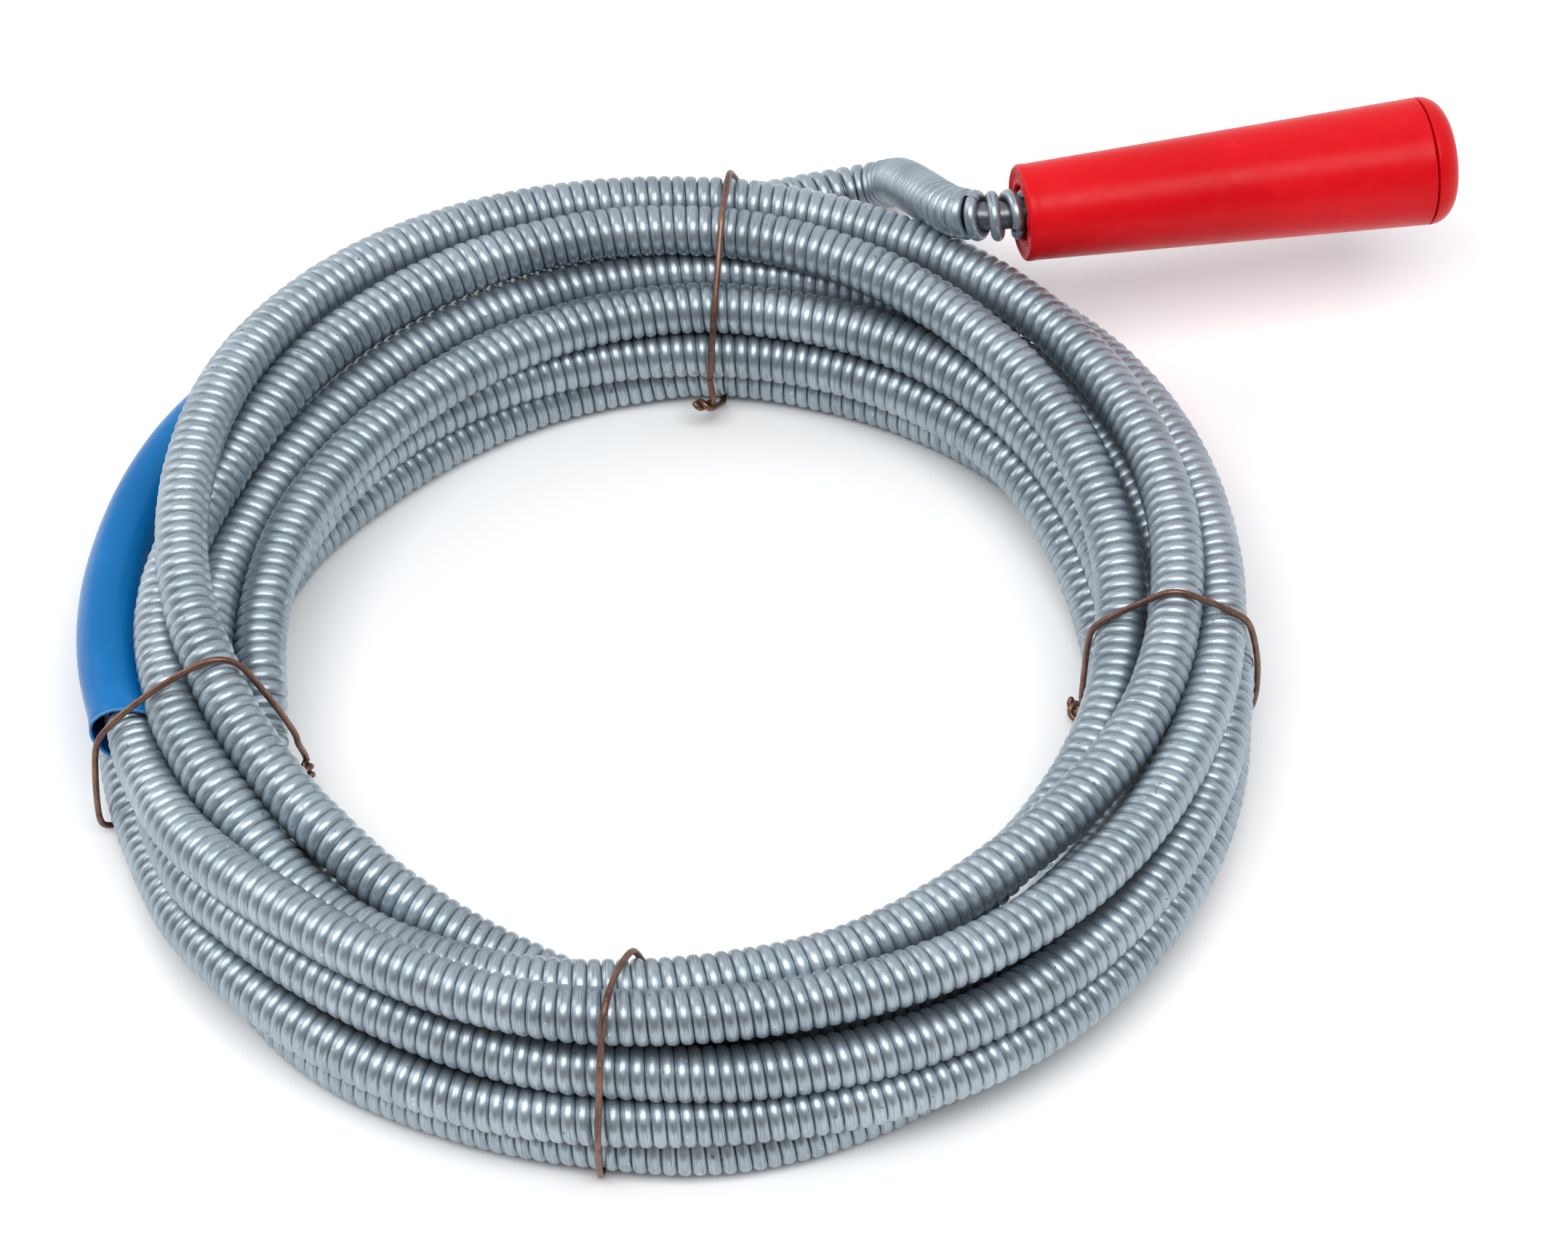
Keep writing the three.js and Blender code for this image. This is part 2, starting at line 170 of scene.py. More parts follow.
class Path:
    """A polyline measured along its length, with an upright frame at every place."""

    def __init__(self, points):
        self.points = np.asarray(points, float)
        self.at = distances(self.points)
        self.length = self.at[-1]
        self.tangents = np.gradient(self.points, self.at, axis=0)

    def place(self, s):
        s = np.asarray(s, float)
        inside = np.clip(s, 0, self.length)
        position = np.stack([np.interp(inside, self.at, self.points[:, i]) for i in range(3)], -1)
        tangent = np.stack([np.interp(inside, self.at, self.tangents[:, i]) for i in range(3)], -1)
        tangent /= np.linalg.norm(tangent, axis=-1, keepdims=True)
        position = position + tangent * (s - inside)[..., None]
        up = np.array([0, 0, 1.0]) - tangent * tangent[..., 2:3]
        up /= np.linalg.norm(up, axis=-1, keepdims=True)
        return position, tangent, up, np.cross(tangent, up)

    def distance_of(self, point):
        return self.at[np.argmin(np.linalg.norm(self.points - np.asarray(point, float), axis=1))]


# ---------------------------------------------------------------- the spiral's route

BEHIND_COIL_ROUTE = [
    [-59.5, 87.2, 6.6],
    [-46.5, 95.6, 5.4],
    [-33.1, 101.9, 4.9],
    [-18.9, 107.1, 5.4],
    [-5.8, 111.3, 6.4],
    [5.5, 115.1, 6.6],
]
CRANK_ROUTE = [
    [16.8, 119, 5.5],
    [25.5, 121.9, 4.8],
    [30.8, 122.9, 5.1],
    [34.6, 122, 6.9],
    [36.8, 119.4, 10.2],
    [38.1, 115.2, 14.2],
    [39.3, 109, 19.5],
    [40.9, 101.4, 25.6],
    [42.8, 94.2, 31],
    [45.4, 87.9, 35.2],
    [48.6, 84.2, 37.8],
    [52.4, 83, 38.6],
]

# The stack seen in a cut through the coil at each station, turn by turn along the spiral. A
# seat is (column, layer), counted in strand widths outward from the innermost column and in
# layers up from the surface. A station is the angle round the coil: 90 is the back, 180 the
# left, 270 the front. The turns are settled against each other afterwards.
INNER_COLUMN_R = 70.0
LAYER_HEIGHT = 8.5
STACKS = {
    200: [(2.25, 2.25), (2.25, 1.25), (2.5, 0.25), (1.5, 0), (0.5, 0), (1.25, 1), (0.25, 1.25),
          (1.5, 2.75), (0.5, 3), (0.75, 2)],
    225: [(1.75, 3), (2, 2), (2.5, 1), (2.25, 0), (1, 0), (1.5, 1), (0.25, 1.5), (1, 2.25),
          (0, 2.5), (0, 0.5)],
    250: [(1.5, 3.25), (1.75, 2), (2.25, 1), (2, 0), (1, 0), (1.25, 1), (0, 1), (0.75, 2.75),
          (0, 2)],
    270: [(1.25, 3.25), (1.75, 2), (2, 1), (2, 0), (0.75, 0), (1, 1), (0, 1), (0.5, 2.75),
          (0.5, 2)],
    315: [(1.5, 3), (2, 1.75), (2.25, 0.75), (1.5, 0), (0.25, 0), (0.75, 1), (-0.25, 1.75),
          (0.25, 3), (1, 2)],
    360: [(2, 2.5), (2.25, 1.5), (2.25, 0.5), (1.25, 0), (0.25, 0), (0.5, 1), (0.25, 2.25),
          (1.25, 3), (1.25, 1.75)],
    405: [(3, 2), (2.25, 1), (2, 0), (1, 0), (0.5, 1), (0.75, 2), (1, 3), (2.25, 3),
          (1.75, 2)],
    450: [(2.75, 1.75), (2.5, 0.75), (1.75, 0), (0.75, 0), (0.5, 1), (0.75, 2), (2, 3),
          (3, 2.75), (1.75, 2)],
    495: [(2.25, 1.25), (2.5, 0.25), (1.5, 0), (0.5, 0), (0.5, 1), (0.25, 2), (2, 2.75), (3, 3),
          (1.25, 2)],
    520: [(2, 1), (2.75, 0), (1.75, 0), (0.75, 0), (0.5, 1), (0.25, 2), (1.75, 2.5), (2, 3.5),
          (1, 1.75)],
    540: [(1.75, 1), (2.75, 0), (1.5, 0), (0.5, 0), (0.75, 1), (0.25, 1.75), (1.75, 2.5),
          (1.25, 3.5), (1, 2)],
}
# Radius and height of the free end, which leaves the stack, at its angles wound
TIP_SEATS = {3480: (69, 5.8), 3490: (66.5, 6.2), 3501: (62.2, 6.9)}

TIE_ANGLES = {"back": 86.0, "right": 0.0, "front": 262.5, "left": 191.5}
TIE_LIFT = 0.9
TIE_LIFT_SPREAD = 9
ROUTE_STEP = 3.0
SETTLING_START = 81.0
COIL_START = 193.0
COIL_END = 3501.0
END_HELD = 6
SLEEVE_COVERS = (133, 191)
SLEEVE_ROOM_R = 6.0

SETTLING_ROUNDS = 420
PUSHES_PER_ROUND = 3
PULL_TO_SEAT = 0.05
STIFFNESS = 0.12
PUSH_APART = 0.45
STRANDS_SINK = 0.1


def sleeve_point(degrees, arc_radius=SLEEVE_ARC_R):
    across = np.array([1.0, 0, 0])
    along = np.cross(SLEEVE_NORMAL, across)
    angle = math.radians(degrees)
    return SLEEVE_CENTRE + arc_radius * (math.cos(angle) * across + math.sin(angle) * along)


def sleeve_route():
    """The spiral through the sleeve, leaning on the inner wall towards the mouth."""
    lean = lambda degrees: SLEEVE_LEAN * float(smoothstep((degrees - 180) / 16))
    return [sleeve_point(a, SLEEVE_ARC_R - lean(a)) for a in np.arange(132, 199, 6.0)]


def hermite(x, keys_x, keys_y):
    """A smooth curve through the keys, whose slope at a key is that between its neighbours."""
    slope = np.gradient(keys_y, keys_x)
    i = np.clip(np.searchsorted(keys_x, x) - 1, 0, len(keys_x) - 2)
    width = keys_x[i + 1] - keys_x[i]
    t = (x - keys_x[i]) / width
    h = [2 * t**3 - 3 * t**2 + 1, t**3 - 2 * t**2 + t, -2 * t**3 + 3 * t**2, t**3 - t**2]
    return (
        h[0] * keys_y[i]
        + h[1] * width * slope[i]
        + h[2] * keys_y[i + 1]
        + h[3] * width * slope[i + 1]
    )


def coil_turns(uncoiled):
    """Settles the turns beside and on each other. Works on radius and height against phi, the
    angle round the coil counted on from turn to turn, and returns the points of the coil."""
    keys = []
    for station, stack in STACKS.items():
        for turn, (column, layer) in enumerate(stack):
            seat_radius = INNER_COLUMN_R + SPIRAL_D * column
            seat_height = SPIRAL_D / 2 + LAYER_HEIGHT * layer
            keys.append((station + 360 * turn, seat_radius, seat_height))
    keys = [key for key in keys if key[0] < min(TIP_SEATS)]
    keys += [(phi, r, z) for phi, (r, z) in TIP_SEATS.items()]
    keys = np.array(sorted(keys), float)
    lead_phi = np.degrees(np.arctan2(uncoiled[:, 1], uncoiled[:, 0])) % 360
    order = np.argsort(lead_phi)
    lead = [lead_phi[order], np.hypot(uncoiled[:, 0], uncoiled[:, 1])[order], uncoiled[order, 2]]

    phi = np.arange(SETTLING_START, COIL_END + 0.1, ROUTE_STEP)
    radius = hermite(phi, keys[:, 0], keys[:, 1])
    height = hermite(phi, keys[:, 0], keys[:, 2])
    fixed = phi < lead[0][-1]
    radius[fixed] = np.interp(phi[fixed], lead[0], lead[1])
    height[fixed] = np.interp(phi[fixed], lead[0], lead[2])
    fixed |= phi > COIL_END - END_HELD
    seat_radii, seat_heights = radius.copy(), height.copy()

    floor = np.full(len(phi), SPIRAL_D / 2)
    for angle in TIE_ANGLES.values():
        off = (phi - angle + 180) % 360 - 180
        floor += TIE_LIFT * np.exp(-((off / TIE_LIFT_SPREAD) ** 2))
    size = np.full(len(phi), SPIRAL_D / 2 - STRANDS_SINK)
    size[(phi > SLEEVE_COVERS[0]) & (phi < SLEEVE_COVERS[1])] = SLEEVE_ROOM_R
    turn = int(360 / ROUTE_STEP)
    free = ~fixed
    for _ in range(SETTLING_ROUNDS):
        for value, seats in ((radius, seat_radii), (height, seat_heights)):
            value[free] += PULL_TO_SEAT * (seats[free] - value[free])
            straighter = STIFFNESS * ((value[:-2] + value[2:]) / 2 - value[1:-1])
            value[1:-1] += np.where(free[1:-1], straighter, 0)
        for _ in range(PUSHES_PER_ROUND):
            push_r = np.zeros(len(phi))
            push_z = np.zeros(len(phi))
            for shift in range(turn, len(phi), turn):
                dr = radius[shift:] - radius[:-shift]
                dz = height[shift:] - height[:-shift]
                gap = np.hypot(dr, dz) + 1e-9
                push = PUSH_APART * np.maximum(0, size[shift:] + size[:-shift] - gap) / gap
                push_r[shift:] += push * dr
                push_r[:-shift] -= push * dr
                push_z[shift:] += push * dz
                push_z[:-shift] -= push * dz
            radius[free] += push_r[free]
            height[free] = np.maximum(height + push_z, floor)[free]
    angle = np.radians(phi)
    wound = np.stack([radius * np.cos(angle), radius * np.sin(angle), height], -1)
    return phi, radius, height, wound[phi >= COIL_START]


through_sleeve = np.array(sleeve_route())
outside_grip = np.vstack([CRANK_ROUTE[::-1], BEHIND_COIL_ROUTE[::-1]])
coil_phi, coil_radius, coil_height, coil_points = coil_turns(
    np.vstack([BEHIND_COIL_ROUTE[::-1], through_sleeve])
)
in_grip = [GRIP_MOUTH + GRIP_AXIS * d for d in (ROD_IN_GRIP, ROD_IN_GRIP / 2, SPIRAL_IN_MOUTH)]

whole_route = np.vstack([in_grip, [GRIP_MOUTH], outside_grip, through_sleeve, coil_points])
whole = Path(catmull_rom(whole_route, 1.0))
mouth_at = whole.distance_of(GRIP_MOUTH)
spiral_start = mouth_at - SPIRAL_IN_MOUTH
wall_start = mouth_at + END_TURNS_LENGTH - SPIRAL_IN_MOUTH

# ---------------------------------------------------------------- mesh helpers

# wire_round is the angle across a wire from its crest. The zinc material paints shade where it
# is large, in the grooves between turns, and a bare wire stays below that all round
BARE_WIRE_ROUND = 1.2


def new_object(name, vertices, faces, smooth=True):
    """A mesh object from points in millimetres and an array or list of faces."""
    mesh = bpy.data.meshes.new(name)
    points = to_frame(vertices).astype(np.float32)
    if isinstance(faces, np.ndarray):
        side = faces.shape[1]
        mesh.vertices.add(len(points))
        mesh.vertices.foreach_set("co", points.ravel())
        mesh.loops.add(faces.size)
        mesh.loops.foreach_set("vertex_index", faces.astype(np.int32).ravel())
        mesh.polygons.add(len(faces))
        mesh.polygons.foreach_set("loop_start", np.arange(len(faces), dtype=np.int32) * side)
        mesh.update(calc_edges=True)
        mesh.validate()
    else:
        mesh.from_pydata([tuple(p) for p in points.tolist()], [], faces)
        mesh.update()
    mesh.polygons.foreach_set("use_smooth", [smooth] * len(mesh.polygons))
    obj = bpy.data.objects.new(name, mesh)
    bpy.context.scene.collection.objects.link(obj)
    return obj


def grid_faces(rows, columns):
    """Quads of a grid of rows by columns of points, whose columns run round and close."""
    row, column = np.meshgrid(np.arange(rows - 1), np.arange(columns), indexing="ij")
    row, column = row.ravel(), column.ravel()
    following = (column + 1) % columns
    return np.stack(
        [
            row * columns + column,
            row * columns + following,
            (row + 1) * columns + following,
            (row + 1) * columns + column,
        ],
        -1,
    )


def add_attribute(obj, name, values):
    attribute = obj.data.attributes.new(name, "FLOAT", "POINT")
    attribute.data.foreach_set("value", np.asarray(values, np.float32).ravel())


def tube(name, points, radius, sides, step):
    """A round bar along a smooth curve through the points, with rounded ends."""
    path = Path(catmull_rom(points, step))
    s = np.linspace(0, path.length, max(4, int(path.length / step)))
    ends = radius * np.array([0.05, 0.5, 0.8, 0.95])
    lead = radius * np.array([0.0, 0.13, 0.4, 0.7])
    middle = s[(s > radius) & (s < path.length - radius)]
    s = np.concatenate([lead, middle, path.length - lead[::-1]])
    radii = np.concatenate([ends, np.full(len(middle), radius), ends[::-1]])
    position, _, up, side = path.place(s)
    angle = np.linspace(0, 2 * np.pi, sides, endpoint=False)
    ring = np.cos(angle)[None, :, None] * up[:, None]
    ring = ring + np.sin(angle)[None, :, None] * side[:, None]
    vertices = position[:, None] + ring * radii[:, None, None]
    vertices = vertices.reshape(-1, 3)
    faces = grid_faces(len(s), sides).tolist()
    faces.append(list(range(sides))[::-1])
    faces.append(list(range(len(vertices) - sides, len(vertices))))
    obj = new_object(name, vertices, faces)
    add_attribute(obj, "wire_along", np.repeat(s, sides))
    add_attribute(obj, "wire_round", np.tile(BARE_WIRE_ROUND * np.cos(angle), len(s)))
    return obj


def lathe(name, profile, sides, origin, axis, wobble=None):
    """A body of revolution from (radius, distance) pairs that form a closed loop, or that
    start and end on the axis."""
    axis = Vector(axis).normalized()
    turn = np.array(Vector((0, 0, 1)).rotation_difference(axis).to_matrix())
    profile = np.asarray(profile, float)
    angle = np.linspace(0, 2 * np.pi, sides, endpoint=False)
    solid = profile[0][0] < 1e-6
    rings = profile[1:-1] if solid else profile
    radius = np.repeat(rings[:, :1], sides, 1)
    along = np.repeat(rings[:, 1:], sides, 1)
    if wobble is not None:
        change_r, change_z = wobble(radius, along, angle[None, :])
        radius = radius + change_r
        along = along + change_z
    vertices = np.stack([radius * np.cos(angle), radius * np.sin(angle), along], -1).reshape(-1, 3)
    faces = grid_faces(len(rings), sides).tolist()
    if solid:
        bottom, top = len(vertices), len(vertices) + 1
        vertices = np.vstack([vertices, [0, 0, profile[0][1]], [0, 0, profile[-1][1]]])
        last = (len(rings) - 1) * sides
        for i in range(sides):
            j = (i + 1) % sides
            faces.append([bottom, j, i])
            faces.append([top, last + i, last + j])
    else:
        last = (len(rings) - 1) * sides
        for i in range(sides):
            j = (i + 1) % sides
            faces.append([last + i, last + j, j, i])
    obj = new_object(name, vertices @ turn.T + origin, faces)
    obj.data.set_sharp_from_angle(angle=math.radians(50))
    return obj


def arc(centre_r, centre_z, half_r, half_z, start, end, steps):
    """Points of an elliptical corner, as (radius, distance) pairs."""
    angles = np.radians(np.linspace(start, end, steps + 1))
    return [(centre_r + half_r * math.cos(a), centre_z + half_z * math.sin(a)) for a in angles]


# ---------------------------------------------------------------- the close-wound wall

ROUND_STEPS = 20
RIDGE_FLATNESS = 0.6
RIDGE_SLANT = 0.78
RIDGE_ANGLES = np.radians([-90, -62, -31, 0, 31, 62, 90])
GROOVE_ANGLE = -np.pi * 0.72
GROOVE_DEPTH = 0.05
GROOVE_DEPTH_MOST = 0.8
GROOVE_DEEPENING = 1.9
WALL_WEAR = 0.035
PITCH_STEP = 0.25
BEND_MARGIN = 6
BEND_FADE = 8
BEND_OPENING = 0.42
BEND_UNEVENNESS = 0.2


def local_pitch(s):
    """Distance from turn to turn: a little more where the spiral turns into the crank."""
    opened = [whole.distance_of(CRANK_ROUTE[3]), whole.distance_of(BEHIND_COIL_ROUTE[4])]
    middle, half = (opened[0] + opened[1]) / 2, abs(opened[1] - opened[0]) / 2
    share = smoothstep((half + BEND_MARGIN - np.abs(s - middle)) / BEND_FADE)
    uneven = BEND_UNEVENNESS * np.sin(s * 0.55) * np.sin(s * 0.21 + 1)
    return PITCH + share * (BEND_OPENING + uneven)


def spiral_wall():
    """The wall of the spiral as one skin: its ridges follow the wire's helix, so each column of
    points starts one column of the next turn further on after a full round."""
    marks = np.arange(wall_start, whole.length, PITCH_STEP)
    turns_at = np.concatenate([[0], np.cumsum(PITCH_STEP / local_pitch(marks[:-1]))])
    turn_count = int(turns_at[-1]) - 1
    ridge = len(RIDGE_ANGLES) + 1
    column = np.arange(turn_count * ridge)
    turn, sample = column // ridge, column % ridge
    around = np.arange(ROUND_STEPS)
    winding = turn[:, None] + around[None, :] / ROUND_STEPS
    s = np.interp(winding, turns_at, marks)
    spacing = local_pitch(s)
    ridge_angle = np.concatenate([[GROOVE_ANGLE], RIDGE_ANGLES])[sample]
    in_groove = (sample == 0)[:, None]
    offset = np.where(in_groove, -spacing / 2, (WIRE_R * np.sin(ridge_angle))[:, None])
    wear = WALL_WEAR * np.sin(winding * 1.7) * np.sin(winding * 0.37)
    depth = GROOVE_DEPTH + GROOVE_DEEPENING * (spacing - PITCH)
    ridge_radius = WINDING_R + WIRE_R * np.clip(np.cos(ridge_angle), 0, 1) ** RIDGE_FLATNESS
    radius = np.where(
        in_groove,
        WINDING_R - np.clip(depth, GROOVE_DEPTH, GROOVE_DEPTH_MOST),
        ridge_radius[:, None] + wear,
    )
    angle = np.broadcast_to(2 * np.pi * around[None, :] / ROUND_STEPS, s.shape)
    position, tangent, up, side = whole.place(s + offset)
    outward = np.cos(angle)[..., None] * up + np.sin(angle)[..., None] * side
    vertices = (position + outward * radius[..., None]).reshape(-1, 3)
    slant = np.where(in_groove, 0, RIDGE_SLANT * ridge_angle[:, None])[..., None]
    normals = (np.cos(slant) * outward + np.sin(slant) * tangent).reshape(-1, 3)

    rows, columns = s.shape
    row, k = np.meshgrid(np.arange(rows - 1), np.arange(ROUND_STEPS), indexing="ij")
    row, k = row.ravel(), k.ravel()
    wrap = (k == ROUND_STEPS - 1).astype(int)
    keep = row + 1 + wrap * ridge < rows
    row, k, wrap = row[keep], k[keep], wrap[keep]
    next_row = row + wrap * ridge
    next_k = (k + 1) % ROUND_STEPS
    faces = np.stack(
        [
            row * columns + k,
            next_row * columns + next_k,
            (next_row + 1) * columns + next_k,
            (row + 1) * columns + k,
        ],
        -1,
    )
    obj = new_object("spiral_spring", vertices, faces)
    if len(obj.data.vertices) == len(normals):
        obj.data.normals_split_custom_set_from_vertices(normals.tolist())
    add_attribute(obj, "wire_along", winding * 2 * np.pi * (SPIRAL_D / 2))
    add_attribute(obj, "wire_round", np.broadcast_to(ridge_angle[:, None], s.shape))
    return obj


def wound_wire(path, s, winding, radius):
    """Points of one wire wound round a path, at distances s and after so many turns."""
    position, _, up, side = path.place(s)
    angle = 2 * np.pi * np.asarray(winding)[:, None]
    return position + np.asarray(radius)[:, None] * (np.cos(angle) * up + np.sin(angle) * side)


END_TURN_OVERLAP = 0.3
END_TURN_COUNT = 4.2
END_TURN_OPENING = 0.7
END_TURN_PHASE = math.radians(40)


def end_turn_wire():
    """The wire from inside the wall's first turn out to the grip, opening as it goes."""
    winding = np.arange(END_TURN_OVERLAP, -END_TURN_COUNT, -1 / ROUND_STEPS)
    pitch = PITCH + (END_TURN_PITCH - PITCH) * smoothstep(-winding / END_TURN_OPENING)
    s = wall_start + winding[0] * PITCH - np.cumsum(pitch / ROUND_STEPS)
    s -= END_TURN_SQUARENESS * (pitch - PITCH) * np.sin(2 * np.pi * winding + END_TURN_PHASE)
    keep = s > spiral_start
    return wound_wire(whole, s[keep], winding[keep], np.full(keep.sum(), WINDING_R))


spring = spiral_wall()

# The last turns stand apart where the spiral goes into the grip
end_turns = tube("spiral_end_turns", end_turn_wire(), WIRE_R, 12, 0.7)

# The working tip: a few turns that swell into a bulb and close to a blunt point
HEAD_TIP = polar(62.2, -75, 6.9)
HEAD_TIP_R = 1.25
HEAD_SWELLING = 3.0
ROD_IN_CRANK = 135

neck = coil_points[-1]
head_path = Path([neck + (HEAD_TIP - neck) * i / 50 for i in range(51)])
head_s = np.arange(0.2, head_path.length - 1.0, HEAD_PITCH / ROUND_STEPS)
head_share = head_s / head_path.length
head_radius = WINDING_R + (HEAD_TIP_R - WINDING_R) * head_share
head_radius += HEAD_SWELLING * np.sin(np.pi * np.clip(head_share * 1.04 - 0.04, 0, 1)) ** 1.15
head = tube(
    "auger_head_bulb",
    wound_wire(head_path, head_s, head_s / HEAD_PITCH, head_radius),
    WIRE_R,
    12,
    0.6,
)
rod_s = np.arange(mouth_at - ROD_IN_GRIP, mouth_at + ROD_IN_CRANK, 3.0)
rod = tube("crank_rod_bar", [whole.place(s)[0] for s in rod_s], ROD_R, 24, 1.5)

spiral_run = whole.place(np.arange(wall_start, whole.length, 2.5))[0]
for piece in (spring, end_turns, head):
    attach(piece, "spiral")
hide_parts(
    "spiral_coil", "spiral_sleeve_stretch", "spiral_crank_end", "spiral_head_end"
)
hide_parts("auger_head")
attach(rod, "spiral")
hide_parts("crank_rod")

# ---------------------------------------------------------------- grip

GRIP_FRONT_R = 8.5
GRIP_REAR_R = 11.3
GRIP_LENGTH = 77.6
GRIP_SEAM = 72.7
GRIP_SIDES = 128
MOUTH_R = 4.85
MOUTH_DEPTH = 5.0
POCKET_R = 7.6
POCKET_START = 61.0
SEAM_GAP = 0.3
PLUG_LENGTH = 4
PLUG_CLEARANCE = 0.3
BORE_R = ROD_R + 0.4


def moulding_unevenness(radius, along, angle):
    """The lip of the mouth is slightly uneven, as trimmed plastic is."""
    at_lip = (along < 0.8) & (radius < MOUTH_R + 1.0)
    ripple = 0.12 * np.sin(5 * angle + 0.6) + 0.1 * np.sin(11 * angle) + 0.06 * np.sin(23 * angle)
    return np.where(at_lip, ripple, 0), np.where(at_lip, 0.5 * ripple, 0)


taper = (GRIP_REAR_R - GRIP_FRONT_R) / (GRIP_SEAM - 2.0)
grip_profile = [
    (MOUTH_R, MOUTH_DEPTH),
    (MOUTH_R, 2.5),
    (MOUTH_R, 0.8),
    (MOUTH_R + 0.1, 0.35),
    (MOUTH_R + 0.4, 0.12),
    (MOUTH_R + 0.8, 0.25),
    (7.0, 0.35),
    (7.4, 0.1),
    *arc(GRIP_FRONT_R - 0.7, 0.7, 0.7, 0.7, -90, 0, 6),
    (GRIP_FRONT_R, 1.6),
    (GRIP_FRONT_R - 0.05, 1.9),
    *[(GRIP_FRONT_R - 0.04 + taper * (z - 2), z) for z in np.linspace(2.6, 72.0, 24)],
    *arc(GRIP_REAR_R - 0.35, GRIP_SEAM - SEAM_GAP / 2 - 0.35, 0.33, 0.35, 0, 90, 4),
    (POCKET_R, GRIP_SEAM - SEAM_GAP / 2),
    (POCKET_R, POCKET_START),
    (BORE_R, POCKET_START),
    (BORE_R, MOUTH_DEPTH),
]
grip = lathe(
    "grip_shell", grip_profile, GRIP_SIDES, GRIP_MOUTH, GRIP_AXIS, moulding_unevenness
)
cap_face = GRIP_SEAM + SEAM_GAP / 2
plug_r = POCKET_R - PLUG_CLEARANCE
cap_profile = [
    (0, cap_face - PLUG_LENGTH),
    (plug_r, cap_face - PLUG_LENGTH),
    (plug_r, cap_face),
    *arc(GRIP_REAR_R - 0.3, cap_face + 0.3, 0.3, 0.3, -90, -10, 3),
    *arc(GRIP_REAR_R - 4.2, GRIP_LENGTH - 4.4, 4.2, 4.1, 0, 86, 12),
    (4.0, GRIP_LENGTH - 0.12),
    (0, GRIP_LENGTH),
]
cap = lathe("grip_cap", cap_profile, GRIP_SIDES, GRIP_MOUTH, GRIP_AXIS)
for piece, node in ((grip, "handle_grip"), (cap, "grip_end_cap")):
    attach(piece, "grip")
    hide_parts(node)

# ---------------------------------------------------------------- sleeve

SLEEVE_WALL = 0.5
SLEEVE_HALF_WIDTH = 5.55
SLEEVE_HALF_HEIGHT = 5.9
SLEEVE_FLARE = 1.3
SLEEVE_FLARE_LENGTH = 7.0
SLEEVE_MOUTH_SLANT = 4.0
SLEEVE_SLANT_FADE = 9
SLEEVE_FAR_BOW = 0.9
SLEEVE_BOW_START = 40
SLEEVE_BOW_LENGTH = 40
SLEEVE_SIDES = 72


def sleeve_tube():
    """A thin oval pipe bent round the coil, flared at its mouth."""
    arc_length = math.radians(SLEEVE_MOUTH_ANGLE - SLEEVE_FAR_ANGLE) * SLEEVE_ARC_R
    near = np.array([0, 0.12, 0.3, 0.55, 0.9, 1.4, 2.1, 3.0, 4.0, 5.0, 6.0])
    far_rim = arc_length - np.array([0.9, 0.5, 0.25, 0])
    along = np.concatenate([near, np.arange(8, arc_length - 1.5, 1.5), far_rim])
    sides = SLEEVE_SIDES
    angle = np.linspace(0, 2 * np.pi, sides, endpoint=False)
    across = np.array([1.0, 0, 0])
    forward = np.cross(SLEEVE_NORMAL, across)

    def skin(depth):
        rows = []
        for s in along:
            a = math.radians(SLEEVE_MOUTH_ANGLE) - s / SLEEVE_ARC_R
            out = math.cos(a) * across + math.sin(a) * forward
            flare = SLEEVE_FLARE * float(smoothstep(1 - s / SLEEVE_FLARE_LENGTH))
            dent = 0.12 * np.sin(3 * angle + s * 0.06) * smoothstep(s / 10)
            lip = 0.14 * np.exp(-s / 0.5) - 0.1 * np.exp(-((s - 0.9) / 0.35) ** 2)
            width = SLEEVE_HALF_WIDTH + flare + lip - depth
            height = SLEEVE_HALF_HEIGHT + 0.4 * flare + lip - depth
            bowed = float(smoothstep((s - SLEEVE_BOW_START) / SLEEVE_BOW_LENGTH))
            bow = SLEEVE_FAR_BOW * bowed
            centre = SLEEVE_CENTRE + (SLEEVE_ARC_R + bow - 0.7 * flare) * out
            ring_out = ((width + dent) * np.cos(angle))[:, None] * out
            ring_up = ((height - dent) * np.sin(angle))[:, None] * SLEEVE_NORMAL
            trim = 0.1 * np.sin(2 * angle + 1) + 0.07 * np.sin(7 * angle)
            trim = trim + 0.04 * np.sin(19 * angle)
            cut = trim * math.exp(-s / 1.5) - trim * math.exp(-(arc_length - s) / 1.5)
            cut += SLEEVE_MOUTH_SLANT * np.cos(angle) * math.exp(-s / SLEEVE_SLANT_FADE)
            ahead = -math.sin(a) * across + math.cos(a) * forward
            rows.append(centre + ring_out + ring_up - cut[:, None] * ahead)
        return np.vstack(rows)

    outer, inner = skin(0), skin(SLEEVE_WALL)
    rows = len(along)
    outer_faces = grid_faces(rows, sides)
    inner_faces = grid_faces(rows, sides)[:, ::-1] + len(outer)
    i = np.arange(sides)
    j = (i + 1) % sides
    last = (rows - 1) * sides
    mouth = np.stack([j, i, i + len(outer), j + len(outer)], -1)
    far = np.stack([last + i, last + j, last + j + len(outer), last + i + len(outer)], -1)
    faces = np.vstack([outer_faces, inner_faces, mouth, far])
    obj = new_object("sleeve_pipe", np.vstack([outer, inner]), faces)
    obj.data.set_sharp_from_angle(angle=math.radians(55))
    # Painted highlight: the cut rims are marked to be painted lighter
    rim_highlight = np.tile(np.exp(-np.minimum(along, arc_length - along) / 0.25), 2)
    add_attribute(obj, "rim_highlight", np.repeat(rim_highlight, sides))
    # The inner skin is marked so that the blue material paints shade on it
    inside = np.concatenate([np.zeros(len(outer)), np.ones(len(inner))])
    add_attribute(obj, "inside", inside)
    return obj


sleeve = sleeve_tube()
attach(sleeve, "sleeve")
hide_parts("hand_sleeve")

